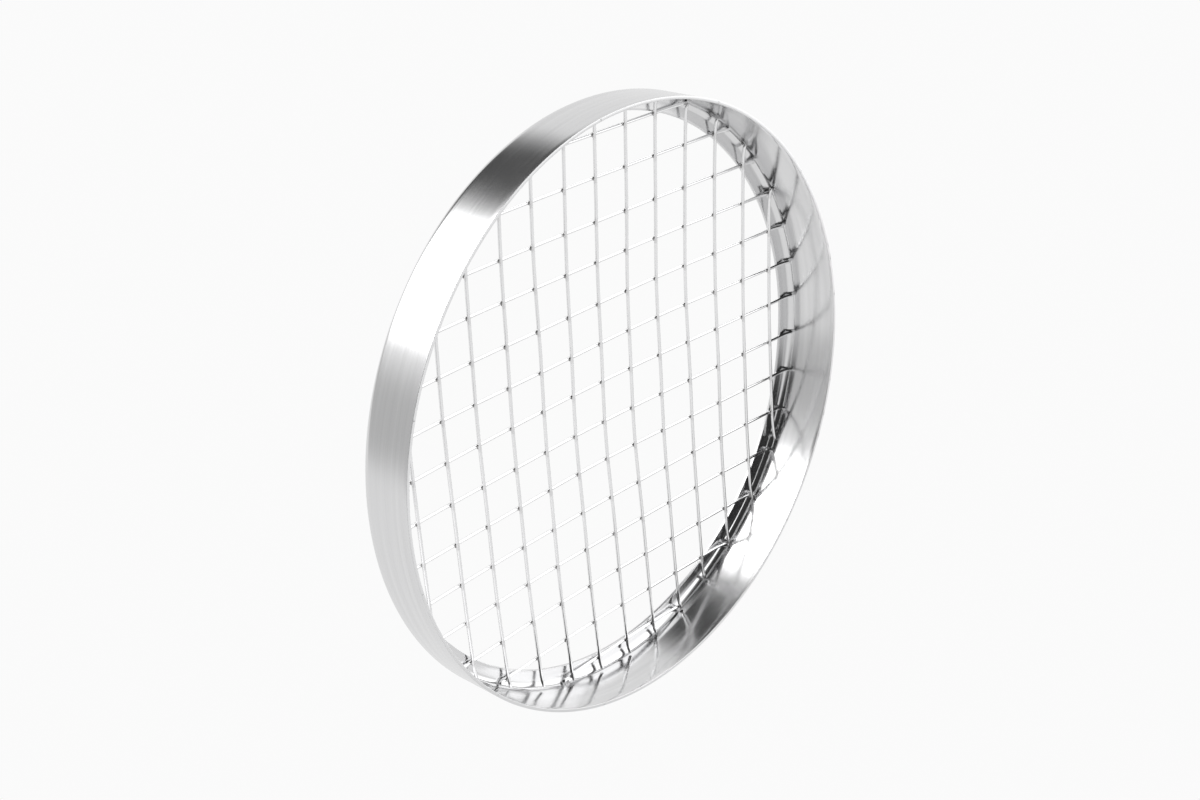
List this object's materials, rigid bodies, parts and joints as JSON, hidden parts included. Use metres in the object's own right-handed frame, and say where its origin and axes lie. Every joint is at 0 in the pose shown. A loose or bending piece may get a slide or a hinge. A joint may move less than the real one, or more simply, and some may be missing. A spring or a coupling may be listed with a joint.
{
  "type": "cooling rack",
  "caption": "Round rack: a sheet-steel ring with an inward flange holds a welded mesh of straight wires. It stands on its open rim.",
  "frame": {"origin": "centre of the open rim's edge, on the surface that the rack stands on", "axes": "+Z is the ring's axis, from the open rim up to the flange; X runs along the upper wires and Y along the lower wires"},
  "size_m": [0.158, 0.158, 0.018],
  "materials": {
    "ring_steel": "brushed along the wall, bright",
    "wire_steel": "bright drawn wire"
  },
  "bodies": {
    "root": {"flanged_ring": "ring_steel", "lower_wire_01": "wire_steel", "lower_wire_02": "wire_steel", "lower_wire_03": "wire_steel", "lower_wire_04": "wire_steel", "lower_wire_05": "wire_steel", "lower_wire_06": "wire_steel", "lower_wire_07": "wire_steel", "lower_wire_08": "wire_steel", "lower_wire_09": "wire_steel", "lower_wire_10": "wire_steel", "lower_wire_11": "wire_steel", "lower_wire_12": "wire_steel", "lower_wire_13": "wire_steel", "upper_wire_01": "wire_steel", "upper_wire_02": "wire_steel", "upper_wire_03": "wire_steel", "upper_wire_04": "wire_steel", "upper_wire_05": "wire_steel", "upper_wire_06": "wire_steel", "upper_wire_07": "wire_steel", "upper_wire_08": "wire_steel", "upper_wire_09": "wire_steel", "upper_wire_10": "wire_steel", "upper_wire_11": "wire_steel", "upper_wire_12": "wire_steel", "upper_wire_13": "wire_steel", "upper_wire_14": "wire_steel"}
  },
  "joints": []
}
